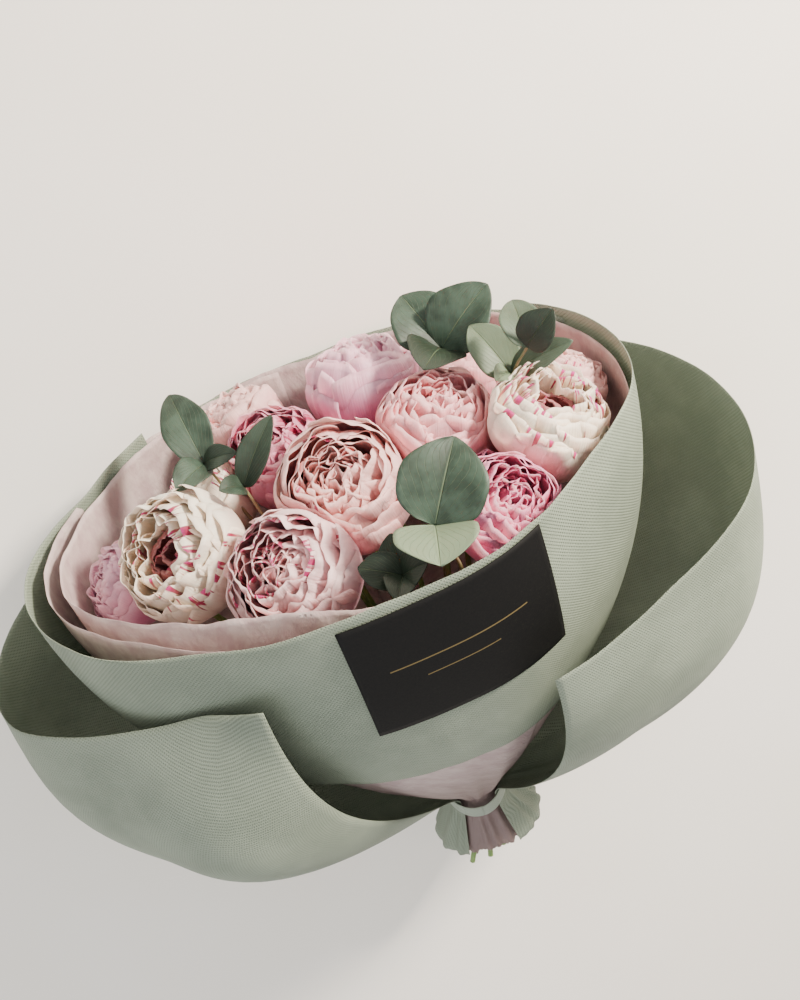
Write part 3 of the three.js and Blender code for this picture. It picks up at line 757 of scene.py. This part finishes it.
def strand(number):
    """One strand of the string: a thin helix that follows the winding round the neck."""
    steps = STEPS_PER_TURN * STRING["turns"]
    path = []
    for k in range(steps + 1):
        t = k / steps
        angle = 360 * STRING["turns"] * t
        middle = float(ellipse_radius(angle, NECK["x"], NECK["y"])) - STRING["inside_neck"]
        spin = math.radians(angle * STRING["lay"] + 120 * number)
        reach = middle + STRING["strand"] * math.cos(spin)
        z = STRING["height"] * (t - 0.5) + STRING["strand"] * math.sin(spin)
        turn = math.radians(angle)
        path.append(((reach * math.sin(turn), -reach * math.cos(turn), z), STRING["strand"]))
    return path


string = stalk_piece(
    "wound_string", [strand(n) for n in range(3)], jute_string, step=0.7 * MM, sides=5, knobbles=0.1 * MM
)
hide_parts("binding_string")
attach(string, "root")

satin = Recipe("satin_ribbon", 0.38, 0.0002, Sheen_Weight=0.4)
_, satin_v = satin.split(satin.uv())
SATIN_ROW = 0.5 * MM
satin_rows = satin.maths("SINE", satin.maths("MULTIPLY", satin_v, 2 * math.pi / SATIN_ROW))
satin_tone = satin.mix(satin.band(satin_rows, -1, 1), linear("#98a792"), linear("#a9b7a2"))
satin_ribbon = satin.finished(satin_tone, satin_rows)

RIBBON = {"outside_neck": 8.6 * MM, "height": 11 * MM, "thickness": 0.5 * MM, "lap": 0.3 * MM}
RIBBON_RADIUS = 30 * MM  # on average
ribbon_turn = np.linspace(0, 360, 121)[None, :]
ribbon_v = np.linspace(0, 1, 11)[:, None]
ribbon_z = RIBBON["height"] * (ribbon_v - 0.5) + 0 * ribbon_turn
ribbon_creases = 0.25 * MM * ripples(ribbon_turn / 20, ribbon_v * 1.5, "ribbon")
ribbon_radius = ellipse_radius(ribbon_turn, NECK["x"], NECK["y"]) + RIBBON["outside_neck"]
ribbon_radius = ribbon_radius + ribbon_creases - RIBBON["lap"] * ribbon_turn / 360
ribbon_angle = np.radians(ribbon_turn)
ribbon_grid = np.stack(
    [ribbon_radius * np.sin(ribbon_angle), -ribbon_radius * np.cos(ribbon_angle), ribbon_z], -1
)
ribbon_heap = Heap()
ribbon_heap.add(ribbon_grid, RIBBON["thickness"], ribbon_angle * RIBBON_RADIUS, ribbon_z)
ribbon_piece = ribbon_heap.piece("satin_band", satin_ribbon)
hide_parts("ribbon")
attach(ribbon_piece, "root")

# ---------------------------------------------------------------- the peonies
# Full double flowers. Broad guard petals cup ring after ring of ruffled, notched petals. Each kind has
# its own colours. Some are flecked with crimson, and a wide open one shows the floor of its hollow.

KINDS = {
    # outer petals, inner petals, edge of a petal, how much crimson, how open, how ruffled
    "cream": ("#ecccbb", "#f2d3b3", "#ffefd8", 0.85, 2.0, 1.7),
    "lilac": ("#cb6a92", "#d2759b", "#f0b4c8", 0.0, 0.3, 1.2),
    "streaked": ("#e494a6", "#ea9fac", "#fad0cd", 0.7, 0.7, 1.3),
    "shell": ("#d9808a", "#e18d92", "#f7c2bb", 0.15, 0.7, 1.3),
    "deep": ("#bf4c70", "#b02c57", "#e68ca6", 0.6, 0.8, 1.7),
    "salmon": ("#d26c7d", "#dd7d88", "#f2acb0", 0.0, 0.4, 1.2),
    "bright": ("#d1437b", "#d95889", "#f08fb0", 0.1, 0.5, 1.2),
}

# Rings of petals from the outside in: how many, how far out and how high the edge comes and how wide
# the petal bellies out, as shares of the radius, half of its span in degrees, how ruffled its edge is,
# and its place from the outside (0) to the middle (1) and the floor under it (1.2).
RINGS = [
    (5, 0.86, 0.46, 1.00, 50, 0.025, 0.00),
    (5, 0.78, 0.62, 0.96, 48, 0.030, 0.08),
    (5, 0.68, 0.74, 0.88, 48, 0.038, 0.20),
    (5, 0.57, 0.82, 0.78, 48, 0.045, 0.40),
    (5, 0.46, 0.87, 0.66, 50, 0.050, 0.60),
    (5, 0.35, 0.90, 0.54, 52, 0.055, 0.80),
    (5, 0.24, 0.91, 0.42, 55, 0.060, 1.00),
    (4, 0.12, 0.91, 0.30, 60, 0.060, 1.00),
    (3, 0.02, 0.90, 0.18, 62, 0.060, 1.00),
    (5, 0.34, 0.70, 0.46, 58, 0.020, 1.20),
    (4, 0.12, 0.72, 0.26, 64, 0.020, 1.20),
]
FLOWER_GAP = 0.3 * MM
UNPRESSED = 0.8  # the share of the way to a neighbour that keeps its shape
NEAR = 1.2  # flowers closer than this share of their radii together are neighbours
PETAL_THICKNESS = 0.5 * MM
WIDE_OPEN = 1.5  # a kind that is more open than this has a hollow in its middle
TOWARDS_FRONT = Vector((0, -0.7, 0.1))


def petal_material(kind):
    """Petals that pale to their edges, with fine veins, blushed feet and flecks of crimson."""
    outer, inner, edge, crimson, _, _ = KINDS[kind]
    mix = Recipe(
        "petals_" + kind, 0.5, 0.0006,
        Subsurface_Weight=0.45, Subsurface_Scale=0.008, Subsurface_Radius=(1.0, 0.6, 0.55),
        Sheen_Weight=0.1,
    )
    flat = mix.uv()
    _, along = mix.split(flat)
    middle, chance = mix.own("middle"), mix.own("chance")
    fine_veins = mix.noise(mix.stretched(flat, (46, 2.5, 1)), 1.0, 3.0)
    patches = mix.noise(mix.stretched(flat, (3, 2, 1)), 1.0, 2.0)
    colour = mix.mix(middle, linear(outer), linear(inner))
    colour = mix.mix(mix.band(along, 0.55, 1.0, 0.0, 0.8), colour, linear(edge))
    colour = mix.mix(mix.band(fine_veins, 0.40, 0.80, 0.0, 0.25), colour, linear(outer))
    colour = mix.mix(mix.band(patches, 0.35, 0.70, 0.0, 0.35), colour, linear(edge))
    deep = mix.maths("MULTIPLY", mix.band(along, 0.1, 0.6, 1.0, 0.0), mix.maths("ADD", middle, 0.35))
    colour = mix.mix(mix.maths("MULTIPLY", deep, 0.45), colour, linear("#cf6a86"))
    if crimson:
        streaks = mix.noise(mix.stretched(flat, (13, 1.3, 1)), 1.0, 2.0)
        flamed = mix.maths("ADD", streaks, mix.maths("MULTIPLY", mix.band(along, 0.5, 1.0), 0.13))
        marks = mix.band(flamed, 0.63, 0.69)
        marked = mix.band(chance, 1 - 0.35 * crimson, 1.02 - 0.35 * crimson)
        near_edge = mix.band(along, 0.35, 0.95)
        share = mix.maths("MULTIPLY", mix.maths("MULTIPLY", marks, marked), near_edge)
        hollow = mix.maths("MULTIPLY", mix.band(middle, 1.05, 1.1), crimson)
        colour = mix.mix(mix.maths("MAXIMUM", share, hollow), colour, linear("#9c1440"))
    return mix.finished(colour, fine_veins)


def neighbours_of(name):
    """Directions in which a flower presses on others, and how far it may reach."""
    at, size, *_ = PEONIES[name]
    found = []
    for other, (place, other_size, *_) in PEONIES.items():
        away = (Vector(place) - Vector(at)) * MM
        distance = away.length
        if other == name or distance > (size + other_size) * NEAR * MM:
            continue
        meet = (distance**2 + (size * MM) ** 2 - (other_size * MM) ** 2) / (2 * distance)
        found.append((np.array(away.normalized()), meet - FLOWER_GAP / 2))
    return found


def squeezed(points, neighbours):
    """Petals are drawn in where the flower presses on its neighbours."""
    for direction, limit in neighbours:
        reach = points @ direction
        free = UNPRESSED * limit
        room = limit - free
        pressed = free + room * (1 - np.exp(-(np.maximum(reach - free, 0)) / room))
        points = points + np.where(reach > free, pressed - reach, 0)[:, None] * direction
    return points


PETAL_U = np.linspace(-1, 1, 33)[None, :]
PETAL_V = np.linspace(0, 1, 14)[:, None]
PETAL_FOOT = (0.10, -0.80)  # out from the axis and up, where every petal grows from
FLATTEST = 0.30  # no petal is rolled tighter than this
NOTCH = 0.08  # how wide a notch in an edge is, as a share of half the petal
FRILL = 0.007  # how high the finest ruffle of an edge is
RING_TURN = 1370  # how far a ring is turned per unit of its distance from the middle


def petal(ring, number, draw, open_share, ruffled):
    """A cupped petal of a flower of radius 1 that opens towards +Z, as a grid of points."""
    count, rim, height, belly, half_span, ruffle, middle = ring
    azimuth = math.radians(360 * (number + draw.uniform(-0.25, 0.25)) / count + RING_TURN * rim)
    rim = rim + draw.uniform(-0.05, 0.04) + 0.03 * open_share * (1 - middle)
    height = height + draw.uniform(-0.09, 0.04) - 0.10 * open_share * middle**2
    half_span = math.radians(half_span) * draw.uniform(0.8, 1.15)
    outline = 1 - draw.uniform(0.10, 0.22) * np.abs(PETAL_U) ** draw.uniform(2.2, 3.6)
    for _ in range(draw.choice((2, 3, 4))):
        depth = draw.uniform(0.01, 0.035) * (0.5 + ruffled * (0.3 + 0.7 * middle))
        outline = outline - depth * np.exp(-(((PETAL_U - draw.uniform(-0.85, 0.85)) / NOTCH) ** 2))
    v = PETAL_V * outline
    shares = [(1 - v) ** 3, 3 * (1 - v) ** 2 * v, 3 * (1 - v) * v**2, v**3]
    side_path = [PETAL_FOOT[0], 1.15 * belly, 1.15 * belly, rim]
    rise_path = [PETAL_FOOT[1], -0.85, 0.35 + 0.25 * middle, height]
    out = sum(share * value for share, value in zip(shares, side_path))
    up = sum(share * value for share, value in zip(shares, rise_path))
    fringe = smooth_step(0.35, 1.0, PETAL_V)
    waves, phase = draw.uniform(1.0, 2.0), draw.uniform(0, 6.28)
    broad_waves = np.sin(waves * math.pi * PETAL_U + phase)
    small_waves = np.sin(2.4 * waves * math.pi * PETAL_U + 2 * phase) * fringe
    lift = ruffle * ruffled * fringe * (broad_waves + 0.25 * small_waves)
    lift = lift + draw.uniform(-0.05, 0.06) * smooth_step(0.72, 1.0, PETAL_V)
    lift = lift + draw.uniform(-0.06, 0.06) * (0.3 + middle) * np.abs(PETAL_U) ** 1.5 * fringe
    frill = np.sin(draw.uniform(13, 20) * PETAL_U + phase)
    lift = lift + FRILL * ruffled * smooth_step(0.7, 1.0, PETAL_V) * frill
    out = out + lift
    curve = np.sqrt(out**2 + FLATTEST**2)
    turned = draw.uniform(-1, 1) * (0.04 + 0.20 * middle) + 0.04
    angle = half_span * PETAL_U
    across = curve * np.sin(angle)
    along = out - curve * (1 - np.cos(angle)) + turned * across * smooth_step(0.2, 0.8, PETAL_V)
    x = along * math.cos(azimuth) - across * math.sin(azimuth)
    y = along * math.sin(azimuth) + across * math.cos(azimuth)
    return np.stack([x, y, up + 0.3 * lift], -1)


def bloom(name):
    """A flower head: every ring of petals, turned to face outwards and pressed by its neighbours."""
    at, size, kind, leans = PEONIES[name]
    _, _, _, _, open_share, ruffled = KINDS[kind]
    radius = size * MM
    draw = random.Random(name)
    facing = (flower_axis(at) + leans * TOWARDS_FRONT).normalized()
    turn = np.array(Vector((0, 0, 1)).rotation_difference(facing).to_matrix())
    neighbours = neighbours_of(name)
    heap = Heap()
    thickness = PETAL_THICKNESS * (1 - 0.75 * smooth_step(0.85, 1.0, PETAL_V)) + 0 * PETAL_U
    for ring in RINGS:
        count, *_, middle = ring
        if open_share > WIDE_OPEN and middle == 1:
            continue
        for k in range(count):
            grid = petal(ring, k, draw, open_share, ruffled) * radius
            rows, columns = grid.shape[:2]
            grid = squeezed(grid.reshape(-1, 3) @ turn.T, neighbours) + np.array(at) * MM
            grid = grid.reshape(rows, columns, 3)
            u = PETAL_U * 0.5 + 0.5 + draw.uniform(0, 9)
            heap.add(grid, thickness, u, PETAL_V, middle=middle, chance=draw.random())
    return heap.piece(name + "_petals", PETALS[kind])


PETALS = {kind: petal_material(kind) for kind in KINDS}
for name in PEONIES:
    flower = bloom(name)
    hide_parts(name + "_head")
    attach(flower, "root")

# ---------------------------------------------------------------- the eucalyptus
# Shoots with round, waxy, grey-green leaves in pairs. A pale midrib and thin side veins run through each
# leaf, which folds a little along its midrib.

# Every shoot: a point that its stem passes, and its joints. Every joint: its place, and its leaves, each
# with the place of its tip, half its width, and how dark (1) or pale (-1) it is. That is partly the
# leaf's own
# tone and partly painted shade and light: the leaves deep in the hollow are painted dark as shade. All
# in millimetres.
SHOOTS = {
    "front": ((49, -95, 296), [
        ((42, -106, 350), [((73, -78, 388), 29, 0.0), ((36, -140, 346), 27, -0.9)]),
    ]),
    "hollow": ((2, -94, 272), [(
        (12, -98, 316),
        [
            ((-13, -92, 330), 13, 0.9), ((14, -78, 336), 12, 1.0), ((30, -112, 330), 12, 0.9),
            ((4, -124, 320), 11, 0.7),
        ],
    )]),
    "left": ((-79, 42, 300), [(
        (-95, 53, 358),
        [((-104, 104, 394), 17.5, 0.2), ((-116, 24, 362), 13, 0.1), ((-68, 34, 368), 9.5, 0.6)],
    )]),
    "middle": ((-62, 9, 296), [
        ((-72, 20, 348), [((-35, 34, 386), 11.5, 0.6), ((-86, 4, 362), 9, 0.2)]),
    ]),
    "back": ((61, 80, 300), [(
        (96, 76, 364), [((83, 112, 398), 25, 0.1), ((142, 78, 399), 25, 0.0), ((76, 36, 375), 22, 0.9)],
    )]),
    "right": ((115, 43, 296), [
        (
            (134, 30, 348),
            [((119, 60, 382), 17, -0.6), ((176, 2, 374), 12, -0.3), ((118, 2, 366), 10, -0.8)],
        ),
        ((144, -3, 385), [((149, 35, 402), 14, -0.4), ((166, -8, 408), 14, 0.8)]),
    ]),
}
LEAF_FACES = Vector((0.05, -0.62, 0.78))
LEAF_THICKNESS = 0.6 * MM
TWIG = {"joint": 1.1 * MM, "end": 0.9 * MM}  # radii
SHOOT_BEND = 60 * MM  # how far below that point a stem leaves its straight line

waxy = Recipe(
    "eucalyptus_leaf", 0.5, 0.0005,
    Subsurface_Weight=0.05, Subsurface_Scale=0.002, Specular_IOR_Level=0.35,
)
leaf_u, leaf_v = waxy.split(waxy.uv())
leaf_side = waxy.maths("ABSOLUTE", leaf_u)
is_leaf, leaf_tone_and_shade = waxy.own("blade"), waxy.own("tone")
bloom_grey = waxy.noise(waxy.place(), 55.0, 4.0)
leaf_colour = waxy.mix(waxy.band(bloom_grey, 0.35, 0.65), linear("#28362b"), linear("#3e5043"))
# Partly painted shade and light: each leaf's number darkens or pales it, and the leaves deep in the
# hollow are painted dark as shade.
leaf_colour = waxy.mix(waxy.band(leaf_tone_and_shade, 0.0, 1.0, 0.0, 0.8), leaf_colour, linear("#1a2418"))
leaf_colour = waxy.mix(waxy.band(leaf_tone_and_shade, -1.0, 0.0, 0.8, 0.0), leaf_colour, linear("#77866c"))
vein_row = waxy.maths("SUBTRACT", leaf_v, waxy.maths("MULTIPLY", leaf_side, 0.95))
vein_row = waxy.maths("ADD", vein_row, waxy.maths("MULTIPLY", waxy.noise(waxy.uv(), 3.0, 2.0), 0.12))
VEIN_ROWS = 6
vein_wave = waxy.maths("SINE", waxy.maths("MULTIPLY", vein_row, 2 * math.pi * VEIN_ROWS))
side_veins = waxy.band(vein_wave, 0.95, 1.0)
midrib = waxy.band(leaf_side, 0.0, 0.035, 0.8, 0.0)
veins = waxy.maths("MAXIMUM", waxy.maths("MULTIPLY", side_veins, 0.3), midrib)
veins = waxy.maths("MULTIPLY", veins, is_leaf)
leaf_colour = waxy.mix(waxy.maths("MULTIPLY", veins, 0.45), leaf_colour, linear("#82916f"))
twig_colour = waxy.mix(waxy.band(bloom_grey, 0.4, 0.6), linear("#6e6a48"), linear("#7d6a50"))
leaf_colour = waxy.mix(is_leaf, twig_colour, leaf_colour)
leaf_relief = waxy.maths("SUBTRACT", bloom_grey, waxy.maths("MULTIPLY", veins, 1.5))
eucalyptus_leaf = waxy.finished(leaf_colour, leaf_relief)

LEAF_U = np.linspace(-1, 1, 17)[None, :]
LEAF_V = np.linspace(0, 1, 29)[:, None]


def leaf(joint, tip, half_width, draw):
    """A round leaf with a short point, as a grid from its joint to its tip."""
    joint, tip = Vector(joint) * MM, Vector(tip) * MM
    along = tip - joint
    side = along.cross(LEAF_FACES).normalized()
    front = side.cross(along).normalized()
    length = along.length
    outline = LEAF_V**0.5 * (1 - LEAF_V) ** 0.7
    outline = outline / outline.max()
    uneven = 1 - 0.03 * np.sin(11 * LEAF_V + draw.uniform(0, 6))
    width = half_width * MM * np.maximum(outline, 0.03) * uneven
    arch = 0.10 * length * np.sin(math.pi * LEAF_V)
    fold = 0.22 * np.abs(LEAF_U) ** 1.2 * width
    wave = 0.03 * half_width * MM * np.sin(7 * LEAF_V + 2 * LEAF_U + draw.uniform(0, 6)) * LEAF_U**2
    groove = -0.5 * MM * np.exp(-((LEAF_U / 0.07) ** 2)) * np.sin(math.pi * LEAF_V)
    raised = arch + fold + wave + groove
    return (
        np.array(joint)
        + LEAF_V[..., None] * np.array(along)
        + (LEAF_U * width)[..., None] * np.array(side)
        + raised[..., None] * np.array(front)
    )


for name, (through, joints) in SHOOTS.items():
    draw = random.Random(name)
    gap = Vector(through) * MM
    foot = at_tie(gap)
    ends = [Vector(at) * MM for at, _ in joints]
    points = [on_stem(foot, STEM_END), on_stem(foot, 0), on_stem(foot, gap.z - SHOOT_BEND), gap, *ends]
    radii = [STEM_RADIUS["shoot"]] * 4 + [TWIG["joint"]] * (len(ends) - 1) + [TWIG["end"]]
    path = smooth_path(points, radii)
    twig = stalk_piece(
        name + "_twig", [path], eucalyptus_leaf, step=2.5 * MM, sides=8, knobbles=0.5 * MM
    )
    heap = Heap()
    for at, leaves in joints:
        for tip, half_width, tone in leaves:
            grid = leaf(at, tip, half_width, draw)
            heap.add(grid, LEAF_THICKNESS, LEAF_U, LEAF_V, blade=1.0, tone=tone)
    blades = heap.piece("eucalyptus_" + name + "_leaves", eucalyptus_leaf)
    with bpy.context.temp_override(active_object=blades, selected_editable_objects=[blades, twig]):
        bpy.ops.object.join()
    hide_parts("eucalyptus_" + name)
    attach(blades, "root")
